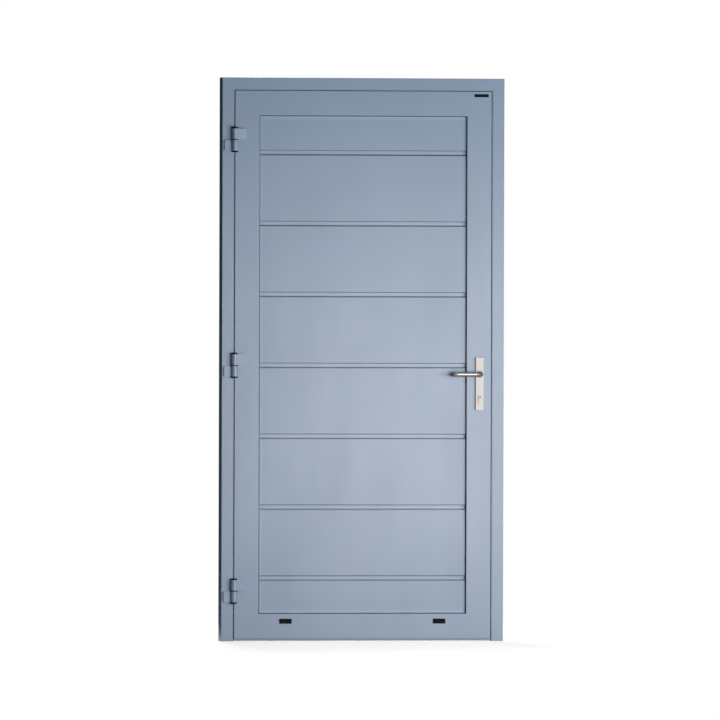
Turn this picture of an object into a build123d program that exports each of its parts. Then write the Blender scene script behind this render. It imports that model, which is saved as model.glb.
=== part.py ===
from build123d import *
import os

# A hinged utility door with its frame: mitred hollow aluminium extrusions, a grooved board infill,
# surface hinges and a lever handle on a long plate.
# The frame's front face looks along -Y, +X points away from the hinges and the floor is Z = 0.

os.makedirs("parts", exist_ok=True)

# Frame
DOOR_W = 1066.0  # outside width
DOOR_H = 2100.0  # height from the floor
FRAME_D = 70.0  # depth through the wall
JAMB_W = 43.0  # width seen from the front
FRAME_WALL = 2.5
STOP_W = 27.0  # stop flange, past the rebate face
STOP_T = 13.5

# Leaf
LEAF_GAP = 5.3  # running gap between leaf and frame
STILE_W = 92.0  # width of stiles and rails
LEAF_D = 50.0
LEAF_WALL = 2.5
LIP_W = 10.0  # thin outer edge of the stiles and rails
LIP_T = 4.0
REBATE_W = 22.0  # inner flange that holds the infill
REBATE_T = 10.0
EDGE_R = 1.0  # rounding of the extrusions' edges

# Infill boards
BOARD_COUNT = 8
BOARD_T = 24.0
BOARD_CHAMFER = 1.0
BAND_W = 15.5  # recessed band along a board's lower edge
BAND_D = 7.0
JOINT_W = 2.5  # open joint under each band
TONGUE_T = 5.0
TONGUE_H = 9.0
TONGUE_SETBACK = 5.0  # behind the floor of the band
TONGUE_FIT = 0.3
BOARD_BITE = 15.0  # board edge hidden in the rebate
TOP_BOARD_EXTRA = 7.0  # taller than the half board at the foot

# Seals
SEAL_W = 8.0
SEAL_INSET = 2.0  # from the stop's free edge
SEAL_GAP = 0.5
SEAL_R = 2.5
INFILL_SEAL_T = 3.0
INFILL_SEAL_W = 12.0
INFILL_SEAL_PROUD = 3.2  # past the flange's free edge
INFILL_SEAL_CHAMFER = 1.2

# Glazing beads
BEAD_CHAMFER = 4.0

# Foot of the door
FLOOR_GAP = 3.5
STRIP_H = 6.7  # drip strip below the bottom rail
STRIP_SETBACK = 0.6
STRIP_INSET = 1.0
CLIP_T = 2.5  # clip of the drip strip behind the rail's lip
CLIP_H = 9.0
SILL_CLEAR = 5.5  # around the threshold
SILL_WALL = 3.0
SILL_NOSE = 6.0

# Hinges
KNUCKLE_R = 12.0
KNUCKLE_L = 39.5
KNUCKLE_LIFT = 0.5  # knuckle off the face of the frame
WASHER_T = 3.5
CAP_T = 5.5
CAP_CHAMFER = 1.5
PIN_R = 6.0
PIN_FIT = 0.2
RUN_GAP = 0.3
HINGE_INSET = 183.5  # hinge centre from the leaf's ends
FRAME_WING_W = 38.0
FRAME_WING_T = 8.0
LEAF_WING_W = 46.0
LEAF_WING_T = 4.0
WING_EDGE = 0.9  # wing back from the edge it is screwed to
WING_CHAMFER = 2.0

# Lock and handle
LEVER_Z = 996.0
BACKSET = 44.5  # spindle from the leaf's edge
CYLINDER_DROP = 85.0
PLATE_W = 30.0
PLATE_L = 197.0
PLATE_T = 11.0
PLATE_ABOVE = 63.0  # plate above the spindle
PLATE_CHAMFER = 0.8
LEVER_R = 8.5
LEVER_OUT = 46.0  # bar's centre from the leaf's face
LEVER_LENGTH = 102.5  # between the two bends' centre lines
LEVER_RETURN = 28.0
LEVER_BEND_R = 14.0
TIP_CHAMFER = 1.5
JOURNAL_R = 10.0
JOURNAL_FIT = 0.25
COLLAR_R = 12.5
COLLAR_T = 4.0
COLLAR_GAP = 0.5
SPINDLE_W = 8.0
SPINDLE_FIT = 0.1
SPINDLE_BITE = 14.0
SPINDLE_HOLE_R = 7.0
CYLINDER_R = 8.5
CYLINDER_LOBE_W = 10.0
CYLINDER_H = 33.0
CYLINDER_PROUD = 2.5
CYLINDER_FIT = 0.3
KEYWAY_W = 2.2
KEYWAY_H = 8.0
KEYWAY_DEPTH = 12.0
CASE_CLEAR = 5.5  # lock case from the stile's far wall
CASE_T = 15.0
CASE_ABOVE = 45.0  # lock case above the spindle
CASE_BELOW = 35.0  # lock case below the cylinder's axis
CASE_FIT = 0.5
FOREND_W = 24.0
FOREND_OVER = 35.0  # forend past each end of the case
FOREND_T = 3.0
LATCH_T = 12.0
LATCH_H = 20.0
BOLT_T = 8.0
BOLT_H = 32.0
BOLT_L = 22.0
BOLT_FIT = 0.3
BOLT_PROUD = 0.5
BOLT_NOSE = 2.0
STRIKE_W = 24.0
STRIKE_L = 200.0
STRIKE_T = 3.0
STRIKE_CLEAR = 3.0  # around the latch and the bolt

# Drain hoods on the bottom rail
HOOD_W = 46.0
HOOD_H = 18.0
HOOD_T = 5.0
HOOD_CHAMFER = 1.2
HOOD_WALL = 1.6
HOOD_SPREAD = 581.0  # between the two hoods
HOOD_DROP = 27.5  # below the rail's upper edge
DRAIN_W = 30.0  # slot in the rail, behind the hood
DRAIN_H = 5.0

# Wall anchors through the jambs
ANCHOR_R = 5.0
ANCHOR_BACK = 30.0  # from the front face
ANCHOR_LOW = 200.0
ANCHOR_PITCH = 1600.0 / 3
ANCHOR_COUNT = 4

# Places worked out from the sizes above
FRONT_Y = -FRAME_D / 2
STOP_FRONT = FRAME_D - STOP_T
SEAL_T = STOP_FRONT - LEAF_D - SEAL_GAP
LEAF_HALF = DOOR_W / 2 - JAMB_W - LEAF_GAP
LEAF_LOW = FLOOR_GAP + STRIP_H
LEAF_HIGH = DOOR_H - JAMB_W - LEAF_GAP
BODY_W = STILE_W - REBATE_W
SIGHT_HALF = LEAF_HALF - STILE_W
SIGHT_LOW = LEAF_LOW + STILE_W
SIGHT_HIGH = LEAF_HIGH - STILE_W
RECESS = REBATE_T + INFILL_SEAL_T
BEAD_FRONT = RECESS + BOARD_T
DAY_HALF = DOOR_W / 2 - JAMB_W - STOP_W
DAY_LOW = LEAF_LOW + STOP_W - LEAF_GAP
DAY_HIGH = DOOR_H - JAMB_W - STOP_W
SILL_FRONT = LIP_T + CLIP_T + SILL_CLEAR
SILL_TOP = LEAF_LOW + LIP_W - SILL_CLEAR
PIN_X = -LEAF_HALF - LEAF_GAP / 2
PIN_Y = FRONT_Y - KNUCKLE_LIFT - KNUCKLE_R
HINGE_Z = (FLOOR_GAP + HINGE_INSET, (FLOOR_GAP + LEAF_HIGH) / 2, LEAF_HIGH - HINGE_INSET)
LOCK_X = LEAF_HALF - BACKSET
LOCK_Y = FRONT_Y + LEAF_D / 2
EDGE_X = LEAF_HALF - LIP_W
CASE_D = BODY_W - LIP_W - LEAF_WALL - CASE_CLEAR
CYLINDER_Z = LEVER_Z - CYLINDER_DROP
HOOD_Z = SIGHT_LOW - HOOD_DROP
LOW_CORNER = (Align.MIN, Align.MIN)


def facing(y):
    """Upright plane at depth y that faces the front, its X to the right and its Y up."""
    return Plane.XZ.offset(-y)


def edge_plane(side, half, low, high):
    """Plane at the start of one side of an upright rectangle, its X inwards and its Y into the wall."""
    starts = {
        "left": ((-half, low), (1, 0, 0), (0, 0, 1)),
        "top": ((-half, high), (0, 0, -1), (1, 0, 0)),
        "right": ((half, high), (-1, 0, 0), (0, 0, -1)),
        "bottom": ((half, low), (0, 0, 1), (-1, 0, 0)),
    }
    (x, z), inwards, along = starts[side]
    return Plane(origin=(x, FRONT_Y, z), x_dir=inwards, z_dir=along)


def mitre_at_start(plane):
    """Plane at 45 degrees across the start of a side."""
    return Plane(origin=plane.origin, z_dir=plane.z_dir - plane.x_dir)


def mitre_at_end(plane, length):
    """Plane at 45 degrees across the far end of a side."""
    return Plane(origin=plane.origin + plane.z_dir * length, z_dir=-plane.z_dir - plane.x_dir)


def frame_section(plane):
    """Hollow frame section: a tube with a stop flange along its back."""
    with BuildSketch(plane) as section:
        Rectangle(JAMB_W, FRAME_D, align=LOW_CORNER)
        with Locations((JAMB_W, STOP_FRONT)):
            Rectangle(STOP_W, STOP_T, align=LOW_CORNER)
        fillet(section.vertices().group_by(Axis.Y)[0], EDGE_R)
        fillet(section.vertices().group_by(Axis.X)[-1], EDGE_R)
        with Locations((FRAME_WALL, FRAME_WALL)):
            tube_w = JAMB_W - 2 * FRAME_WALL
            Rectangle(tube_w, FRAME_D - 2 * FRAME_WALL, align=LOW_CORNER, mode=Mode.SUBTRACT)
        with Locations((JAMB_W, STOP_FRONT + FRAME_WALL)):
            stop_w = STOP_W - FRAME_WALL
            Rectangle(stop_w, STOP_T - 2 * FRAME_WALL, align=LOW_CORNER, mode=Mode.SUBTRACT)
    return section.sketch


def leaf_section(plane):
    """Hollow leaf section: a tube with a thin outer lip and an inner flange, flush at the front."""
    with BuildSketch(plane) as section:
        Rectangle(BODY_W, LIP_T, align=LOW_CORNER)
        with Locations((LIP_W, 0)):
            Rectangle(BODY_W - LIP_W, LEAF_D, align=LOW_CORNER)
        with Locations((BODY_W, 0)):
            Rectangle(REBATE_W, REBATE_T, align=LOW_CORNER)
        fillet(section.vertices().group_by(Axis.Y)[0], EDGE_R)
        fillet(section.vertices().group_by(Axis.Y)[-1], EDGE_R)
        with Locations((LIP_W + LEAF_WALL, LEAF_WALL)):
            tube_w = BODY_W - LIP_W - 2 * LEAF_WALL
            Rectangle(tube_w, LEAF_D - 2 * LEAF_WALL, align=LOW_CORNER, mode=Mode.SUBTRACT)
        with Locations((BODY_W, LEAF_WALL)):
            flange_w = REBATE_W - LEAF_WALL
            Rectangle(flange_w, REBATE_T - 2 * LEAF_WALL, align=LOW_CORNER, mode=Mode.SUBTRACT)
    return section.sketch


def anchor_holes(x):
    """Circles of the wall anchors, on an upright plane across the jamb at x."""
    with BuildSketch(Plane.YZ.offset(x)) as holes:
        for index in range(ANCHOR_COUNT):
            with Locations((FRONT_Y + ANCHOR_BACK, ANCHOR_LOW + index * ANCHOR_PITCH)):
                Circle(ANCHOR_R)
    return holes.sketch


def lock_windows(x, clear):
    """Openings for the latch and the bolt, on an upright plane across the lock at x."""
    with BuildSketch(Plane.YZ.offset(x)) as windows:
        with Locations((LOCK_Y, LEVER_Z)):
            Rectangle(LATCH_T + 2 * clear, LATCH_H + 2 * clear)
        with Locations((LOCK_Y, CYLINDER_Z)):
            Rectangle(BOLT_T + 2 * clear, BOLT_H + 2 * clear)
    return windows.sketch


def cylinder_section(plane, clear):
    """Key cylinder outline: a round head with a narrower lobe below."""
    with BuildSketch(plane) as section:
        with Locations((LOCK_X, CYLINDER_Z)):
            Circle(CYLINDER_R + clear)
        lobe_low = CYLINDER_Z + CYLINDER_R - CYLINDER_H
        lobe_r = CYLINDER_LOBE_W / 2
        with Locations((LOCK_X, (CYLINDER_Z + lobe_low + lobe_r) / 2)):
            Rectangle(CYLINDER_LOBE_W + 2 * clear, CYLINDER_Z - lobe_low - lobe_r)
        with Locations((LOCK_X, lobe_low + lobe_r)):
            Circle(lobe_r + clear)
    return section.sketch


def spindle_hole(plane, radius):
    """Circle about the spindle."""
    with BuildSketch(plane) as hole:
        with Locations((LOCK_X, LEVER_Z)):
            Circle(radius)
    return hole.sketch


# Frame: two jambs and a head, mitred at the top corners
jamb_left = edge_plane("left", DOOR_W / 2, 0, DOOR_H)
with BuildPart() as hinge_jamb:
    extrude(frame_section(jamb_left), amount=DOOR_H)
    split(bisect_by=mitre_at_end(jamb_left, DOOR_H), keep=Keep.TOP)
    extrude(anchor_holes(-DOOR_W / 2), amount=JAMB_W, mode=Mode.SUBTRACT)
hinge_jamb.part.label = "hinge_jamb"
export_step(hinge_jamb.part, "parts/hinge_jamb.step")

jamb_right = edge_plane("right", DOOR_W / 2, 0, DOOR_H)
rebate_x = DOOR_W / 2 - JAMB_W
with BuildPart() as lock_jamb:
    extrude(frame_section(jamb_right), amount=DOOR_H)
    split(bisect_by=mitre_at_start(jamb_right), keep=Keep.TOP)
    extrude(anchor_holes(rebate_x), amount=JAMB_W, mode=Mode.SUBTRACT)
    extrude(lock_windows(rebate_x, STRIKE_CLEAR), amount=FRAME_WALL, mode=Mode.SUBTRACT)
lock_jamb.part.label = "lock_jamb"
export_step(lock_jamb.part, "parts/lock_jamb.step")

head_side = edge_plane("top", DOOR_W / 2, 0, DOOR_H)
with BuildPart() as head:
    extrude(frame_section(head_side), amount=DOOR_W)
    split(bisect_by=mitre_at_start(head_side), keep=Keep.TOP)
    split(bisect_by=mitre_at_end(head_side, DOOR_W), keep=Keep.TOP)
head.part.label = "head"
export_step(head.part, "parts/head.step")

# Threshold: a low hollow sill between the jambs, with an upstand that the leaf's foot shuts against
with BuildPart() as threshold:
    with BuildSketch(Plane.YZ.offset(-rebate_x)):
        with BuildLine():
            Polyline(
                (FRONT_Y + SILL_FRONT, 0),
                (FRONT_Y + FRAME_D, 0),
                (FRONT_Y + FRAME_D, DAY_LOW),
                (FRONT_Y + STOP_FRONT, DAY_LOW),
                (FRONT_Y + STOP_FRONT, SILL_TOP),
                (FRONT_Y + SILL_FRONT + SILL_NOSE, SILL_TOP),
                (FRONT_Y + SILL_FRONT, SILL_TOP - SILL_NOSE),
                close=True,
            )
        make_face()
        with Locations((FRONT_Y + SILL_FRONT + SILL_NOSE, SILL_WALL)):
            base_w = STOP_FRONT - SILL_FRONT - SILL_NOSE - SILL_WALL
            base_h = SILL_TOP - 2 * SILL_WALL
            Rectangle(base_w, base_h, align=LOW_CORNER, mode=Mode.SUBTRACT)
        with Locations((FRONT_Y + STOP_FRONT + SILL_WALL, SILL_WALL)):
            upstand_w = STOP_T - 2 * SILL_WALL
            upstand_h = DAY_LOW - 2 * SILL_WALL
            Rectangle(upstand_w, upstand_h, align=LOW_CORNER, mode=Mode.SUBTRACT)
    extrude(amount=2 * rebate_x)
    with BuildSketch(Plane.XY):
        for side in (-1, 1):
            with Locations((side * (DAY_HALF + STOP_W / 2), FRONT_Y + STOP_FRONT + STOP_T / 2)):
                Rectangle(STOP_W, STOP_T)
    extrude(amount=DAY_LOW, mode=Mode.SUBTRACT)
threshold.part.label = "threshold"
export_step(threshold.part, "parts/threshold.step")

# Seal around the stop, as it lies when the door is shut
with BuildPart() as frame_seal:
    with BuildSketch(facing(FRONT_Y + STOP_FRONT)):
        with Locations((0, (DAY_LOW + DAY_HIGH) / 2)):
            outer = 2 * (SEAL_INSET + SEAL_W)
            inner = 2 * SEAL_INSET
            Rectangle(2 * DAY_HALF + outer, DAY_HIGH - DAY_LOW + outer)
            Rectangle(2 * DAY_HALF + inner, DAY_HIGH - DAY_LOW + inner, mode=Mode.SUBTRACT)
    extrude(amount=SEAL_T)
    fillet(frame_seal.faces().sort_by(Axis.Y)[0].edges(), SEAL_R)
frame_seal.part.label = "frame_seal"
export_step(frame_seal.part, "parts/frame_seal.step")

# Strike plate let onto the lock jamb, with windows for the latch and the bolt
with BuildPart() as strike_plate:
    with BuildSketch(Plane.YZ.offset(rebate_x)):
        with Locations((LOCK_Y, (LEVER_Z + CYLINDER_Z) / 2)):
            RectangleRounded(STRIKE_W, STRIKE_L, STRIKE_W / 4)
    extrude(amount=-STRIKE_T)
    extrude(lock_windows(rebate_x, STRIKE_CLEAR), amount=-STRIKE_T, mode=Mode.SUBTRACT)
strike_plate.part.label = "strike_plate"
export_step(strike_plate.part, "parts/strike_plate.step")

# Leaf: two stiles and two rails, mitred at all four corners
leaf_height = LEAF_HIGH - LEAF_LOW
stile_left = edge_plane("left", LEAF_HALF, LEAF_LOW, LEAF_HIGH)
with BuildPart() as hinge_stile:
    extrude(leaf_section(stile_left), amount=leaf_height)
    split(bisect_by=mitre_at_start(stile_left), keep=Keep.TOP)
    split(bisect_by=mitre_at_end(stile_left, leaf_height), keep=Keep.TOP)
hinge_stile.part.label = "hinge_stile"
export_step(hinge_stile.part, "parts/hinge_stile.step")

stile_right = edge_plane("right", LEAF_HALF, LEAF_LOW, LEAF_HIGH)
case_h = CASE_ABOVE + CYLINDER_DROP + CASE_BELOW
case_mid_z = LEVER_Z + CASE_ABOVE - case_h / 2
with BuildPart() as lock_stile:
    extrude(leaf_section(stile_right), amount=leaf_height)
    split(bisect_by=mitre_at_start(stile_right), keep=Keep.TOP)
    split(bisect_by=mitre_at_end(stile_right, leaf_height), keep=Keep.TOP)
    with BuildSketch(Plane.YZ.offset(EDGE_X)):
        with Locations((LOCK_Y, case_mid_z)):
            Rectangle(CASE_T + 2 * CASE_FIT, case_h + 2 * CASE_FIT)
    extrude(amount=-LEAF_WALL, mode=Mode.SUBTRACT)
    extrude(spindle_hole(facing(FRONT_Y), JOURNAL_R), amount=-LEAF_D, mode=Mode.SUBTRACT)
    extrude(cylinder_section(facing(FRONT_Y), CYLINDER_FIT), amount=-LEAF_D, mode=Mode.SUBTRACT)
lock_stile.part.label = "lock_stile"
export_step(lock_stile.part, "parts/lock_stile.step")

rail_top = edge_plane("top", LEAF_HALF, LEAF_LOW, LEAF_HIGH)
with BuildPart() as top_rail:
    extrude(leaf_section(rail_top), amount=2 * LEAF_HALF)
    split(bisect_by=mitre_at_start(rail_top), keep=Keep.TOP)
    split(bisect_by=mitre_at_end(rail_top, 2 * LEAF_HALF), keep=Keep.TOP)
top_rail.part.label = "top_rail"
export_step(top_rail.part, "parts/top_rail.step")

rail_low = edge_plane("bottom", LEAF_HALF, LEAF_LOW, LEAF_HIGH)
with BuildPart() as bottom_rail:
    extrude(leaf_section(rail_low), amount=2 * LEAF_HALF)
    split(bisect_by=mitre_at_start(rail_low), keep=Keep.TOP)
    split(bisect_by=mitre_at_end(rail_low, 2 * LEAF_HALF), keep=Keep.TOP)
    with BuildSketch(facing(FRONT_Y)):
        for side in (-1, 1):
            with Locations((side * HOOD_SPREAD / 2, HOOD_Z)):
                Rectangle(DRAIN_W, DRAIN_H)
    extrude(amount=-LEAF_WALL, mode=Mode.SUBTRACT)
bottom_rail.part.label = "bottom_rail"
export_step(bottom_rail.part, "parts/bottom_rail.step")

# Drip strip clipped behind the bottom rail's lip
with BuildPart() as drip_strip:
    with BuildSketch(Plane.YZ.offset(STRIP_INSET - LEAF_HALF)):
        with Locations((FRONT_Y + STRIP_SETBACK, FLOOR_GAP)):
            Rectangle(LIP_T - STRIP_SETBACK, STRIP_H, align=LOW_CORNER)
        with Locations((FRONT_Y + LIP_T, FLOOR_GAP)):
            Rectangle(CLIP_T, STRIP_H + CLIP_H, align=LOW_CORNER)
    extrude(amount=2 * (LEAF_HALF - STRIP_INSET))
drip_strip.part.label = "drip_strip"
export_step(drip_strip.part, "parts/drip_strip.step")

# Infill: boards that lock together by tongue and groove. Each has a recessed band along its lower edge,
# and an open joint shows between that band and the board below.
board_half = SIGHT_HALF + BOARD_BITE
band_pitch = (SIGHT_HIGH - SIGHT_LOW - TOP_BOARD_EXTRA) / (BOARD_COUNT - 1)
board_front = FRONT_Y + RECESS
board_back = board_front + BOARD_T
tongue_front = board_front + BAND_D + TONGUE_SETBACK
for index in range(BOARD_COUNT):
    joint_low = SIGHT_LOW + (index - 0.5) * band_pitch - (JOINT_W + BAND_W) / 2
    band_low = joint_low + JOINT_W
    face_low = band_low + BAND_W if index else SIGHT_LOW - BOARD_BITE
    carries_next = index < BOARD_COUNT - 1
    face_top = joint_low + band_pitch if carries_next else SIGHT_HIGH + BOARD_BITE
    with BuildPart() as board:
        with BuildSketch(Plane.YZ.offset(-board_half)) as section:
            with Locations((board_front, face_low)):
                Rectangle(BOARD_T, face_top - face_low, align=LOW_CORNER)
            chamfer(section.vertices().group_by(Axis.X)[0], BOARD_CHAMFER)
            if carries_next:
                with Locations((tongue_front, face_top)):
                    Rectangle(board_back - tongue_front, JOINT_W, align=LOW_CORNER)
                    Rectangle(TONGUE_T, JOINT_W + TONGUE_H, align=LOW_CORNER)
            if index:
                with Locations((board_front + BAND_D, band_low)):
                    Rectangle(BOARD_T - BAND_D, BAND_W, align=LOW_CORNER)
                with Locations((tongue_front - TONGUE_FIT, band_low)):
                    slot_w = TONGUE_T + 2 * TONGUE_FIT
                    slot_h = TONGUE_H + TONGUE_FIT
                    Rectangle(slot_w, slot_h, align=LOW_CORNER, mode=Mode.SUBTRACT)
        extrude(amount=2 * board_half)
    board_name = f"board_{index + 1}"
    board.part.label = board_name
    export_step(board.part, f"parts/{board_name}.step")

# Seal between the leaf's inner flange and the boards, which shows as a dark line around them
with BuildPart() as infill_seal:
    with BuildSketch(facing(FRONT_Y + RECESS)):
        with Locations((0, (SIGHT_LOW + SIGHT_HIGH) / 2)):
            sight_w = 2 * (SIGHT_HALF - INFILL_SEAL_PROUD)
            sight_h = SIGHT_HIGH - SIGHT_LOW - 2 * INFILL_SEAL_PROUD
            Rectangle(sight_w + 2 * INFILL_SEAL_W, sight_h + 2 * INFILL_SEAL_W)
            Rectangle(sight_w, sight_h, mode=Mode.SUBTRACT)
    extrude(amount=INFILL_SEAL_T)
    seal_lip = infill_seal.faces().sort_by(Axis.Y)[0].inner_wires()[0]
    chamfer(seal_lip.edges(), INFILL_SEAL_CHAMFER)
infill_seal.part.label = "infill_seal"
export_step(infill_seal.part, "parts/infill_seal.step")

# Beads that hold the boards from the inside, mitred
bead_half = SIGHT_HALF + REBATE_W
bead_low = SIGHT_LOW - REBATE_W
bead_high = SIGHT_HIGH + REBATE_W
for bead_side in ("left", "top", "right", "bottom"):
    bead_plane = edge_plane(bead_side, bead_half, bead_low, bead_high)
    bead_length = bead_high - bead_low if bead_side in ("left", "right") else 2 * bead_half
    with BuildPart() as bead:
        with BuildSketch(bead_plane) as section:
            with Locations((0, BEAD_FRONT)):
                Rectangle(REBATE_W, LEAF_D - BEAD_FRONT, align=LOW_CORNER)
            chamfer(section.vertices().group_by(Axis.X)[-1].sort_by(Axis.Y)[-1], BEAD_CHAMFER)
        extrude(amount=bead_length)
        split(bisect_by=mitre_at_start(bead_plane), keep=Keep.TOP)
        split(bisect_by=mitre_at_end(bead_plane, bead_length), keep=Keep.TOP)
    bead_name = f"bead_{bead_side}"
    bead.part.label = bead_name
    export_step(bead.part, f"parts/{bead_name}.step")

# Hinges: the lower knuckle is fixed to the frame and holds the pin, the upper one hangs on it
hinge_places = ("low", "middle", "top")
for place, mid_z in zip(hinge_places, HINGE_Z):
    washer_low = mid_z - WASHER_T / 2
    washer_high = mid_z + WASHER_T / 2
    with BuildPart() as frame_knuckle:
        with BuildSketch(Plane.XY.offset(washer_low - KNUCKLE_L)):
            with Locations((PIN_X - FRAME_WING_W, FRONT_Y - FRAME_WING_T)):
                wing_w = FRAME_WING_W - LEAF_GAP / 2 - WING_EDGE
                Rectangle(wing_w, FRAME_WING_T, align=LOW_CORNER)
            with Locations((PIN_X, PIN_Y)):
                Circle(KNUCKLE_R)
                Circle(PIN_R, mode=Mode.SUBTRACT)
        extrude(amount=KNUCKLE_L)
        chamfer(frame_knuckle.edges().filter_by(Axis.Y).sort_by(Axis.X)[:2], WING_CHAMFER)
    frame_knuckle.part.label = f"hinge_frame_{place}"
    export_step(frame_knuckle.part, f"parts/hinge_frame_{place}.step")

    with BuildPart() as leaf_knuckle:
        with BuildSketch(Plane.XY.offset(washer_high + RUN_GAP)):
            with BuildLine():
                Polyline(
                    (PIN_X, PIN_Y - KNUCKLE_R),
                    (PIN_X + LEAF_WING_W, FRONT_Y - LEAF_WING_T),
                    (PIN_X + LEAF_WING_W, FRONT_Y),
                    (PIN_X + LEAF_GAP / 2 + WING_EDGE, FRONT_Y),
                    (PIN_X, PIN_Y),
                    close=True,
                )
            make_face()
            with Locations((PIN_X, PIN_Y)):
                Circle(KNUCKLE_R)
                Circle(PIN_R, mode=Mode.SUBTRACT)
        extrude(amount=KNUCKLE_L)
        chamfer(leaf_knuckle.edges().filter_by(Axis.Y).sort_by(Axis.X)[-2:], WING_CHAMFER)
    leaf_knuckle.part.label = f"hinge_leaf_{place}"
    export_step(leaf_knuckle.part, f"parts/hinge_leaf_{place}.step")

    with BuildPart() as pin:
        with BuildSketch(Plane.XY.offset(washer_low - KNUCKLE_L)):
            with Locations((PIN_X, PIN_Y)):
                Circle(PIN_R - PIN_FIT)
        extrude(amount=2 * KNUCKLE_L + WASHER_T)
    pin.part.label = f"hinge_pin_{place}"
    export_step(pin.part, f"parts/hinge_pin_{place}.step")

with BuildPart() as hinge_washers:
    for mid_z in HINGE_Z:
        with BuildSketch(Plane.XY.offset(mid_z - WASHER_T / 2)):
            with Locations((PIN_X, PIN_Y)):
                Circle(KNUCKLE_R)
                Circle(PIN_R, mode=Mode.SUBTRACT)
        extrude(amount=WASHER_T)
hinge_washers.part.label = "hinge_washers"
export_step(hinge_washers.part, "parts/hinge_washers.step")

cap_lift = WASHER_T / 2 + KNUCKLE_L
with BuildPart() as hinge_bottom_caps:
    for mid_z in HINGE_Z:
        with BuildSketch(Plane.XY.offset(mid_z - cap_lift)):
            with Locations((PIN_X, PIN_Y)):
                Circle(KNUCKLE_R)
        extrude(amount=-CAP_T)
    for cap in hinge_bottom_caps.solids():
        chamfer(cap.faces().sort_by(Axis.Z)[0].edges(), CAP_CHAMFER)
hinge_bottom_caps.part.label = "hinge_bottom_caps"
export_step(hinge_bottom_caps.part, "parts/hinge_bottom_caps.step")

with BuildPart() as hinge_top_caps:
    for mid_z in HINGE_Z:
        with BuildSketch(Plane.XY.offset(mid_z + cap_lift + RUN_GAP)):
            with Locations((PIN_X, PIN_Y)):
                Circle(KNUCKLE_R)
        extrude(amount=CAP_T)
    for cap in hinge_top_caps.solids():
        chamfer(cap.faces().sort_by(Axis.Z)[-1].edges(), CAP_CHAMFER)
hinge_top_caps.part.label = "hinge_top_caps"
export_step(hinge_top_caps.part, "parts/hinge_top_caps.step")

# Drain hoods over the slots of the bottom rail, hollow and open below
with BuildPart() as drain_hoods:
    with BuildSketch(facing(FRONT_Y)):
        for side in (-1, 1):
            with Locations((side * HOOD_SPREAD / 2, HOOD_Z)):
                Rectangle(HOOD_W, HOOD_H)
    extrude(amount=HOOD_T)
    chamfer(drain_hoods.faces().group_by(Axis.Y)[0].edges(), HOOD_CHAMFER)
    with BuildSketch(facing(FRONT_Y)):
        for side in (-1, 1):
            with Locations((side * HOOD_SPREAD / 2, HOOD_Z - HOOD_WALL)):
                Rectangle(HOOD_W - 2 * HOOD_WALL, HOOD_H)
    extrude(amount=HOOD_T - HOOD_WALL, mode=Mode.SUBTRACT)
drain_hoods.part.label = "drain_hoods"
export_step(drain_hoods.part, "parts/drain_hoods.step")

# Mortise lock: case and forend in the lock stile, with the latch and the dead bolt drawn back
forend_x = EDGE_X + FOREND_T
with BuildPart() as mortise_lock:
    with BuildSketch(Plane.YZ.offset(EDGE_X)):
        with Locations((LOCK_Y, case_mid_z)):
            RectangleRounded(FOREND_W, case_h + 2 * FOREND_OVER, FOREND_W / 4)
    extrude(amount=FOREND_T)
    with BuildSketch(Plane.YZ.offset(EDGE_X)):
        with Locations((LOCK_Y, case_mid_z)):
            Rectangle(CASE_T, case_h)
    extrude(amount=-CASE_D)
    pocket = BOLT_L + BOLT_FIT - BOLT_PROUD
    extrude(lock_windows(forend_x, BOLT_FIT), amount=-pocket, mode=Mode.SUBTRACT)
    extrude(spindle_hole(facing(FRONT_Y), SPINDLE_HOLE_R), amount=-LEAF_D, mode=Mode.SUBTRACT)
    extrude(cylinder_section(facing(FRONT_Y), CYLINDER_FIT), amount=-LEAF_D, mode=Mode.SUBTRACT)
mortise_lock.part.label = "mortise_lock"
export_step(mortise_lock.part, "parts/mortise_lock.step")

bolts = (("latch_bolt", LEVER_Z, LATCH_T, LATCH_H), ("dead_bolt", CYLINDER_Z, BOLT_T, BOLT_H))
for bolt_name, bolt_z, bolt_t, bolt_h in bolts:
    with BuildPart() as bolt:
        with BuildSketch(Plane.YZ.offset(forend_x + BOLT_PROUD)):
            with Locations((LOCK_Y, bolt_z)):
                Rectangle(bolt_t, bolt_h)
        extrude(amount=-BOLT_L)
        chamfer(bolt.faces().sort_by(Axis.X)[-1].edges().filter_by(Axis.Z)[0], BOLT_NOSE)
    bolt.part.label = bolt_name
    export_step(bolt.part, f"parts/{bolt_name}.step")

# Key cylinder through both handle plates
cylinder_l = LEAF_D + 2 * (PLATE_T + CYLINDER_PROUD)
cylinder_y = FRONT_Y - PLATE_T - CYLINDER_PROUD
with BuildPart() as key_cylinder:
    extrude(cylinder_section(facing(cylinder_y), 0), amount=-cylinder_l)
    for end_y, depth in ((cylinder_y, -KEYWAY_DEPTH), (cylinder_y + cylinder_l, KEYWAY_DEPTH)):
        with BuildSketch(facing(end_y)):
            with Locations((LOCK_X, CYLINDER_Z)):
                Rectangle(KEYWAY_W, KEYWAY_H)
        extrude(amount=depth, mode=Mode.SUBTRACT)
key_cylinder.part.label = "key_cylinder"
export_step(key_cylinder.part, "parts/key_cylinder.step")

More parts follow.
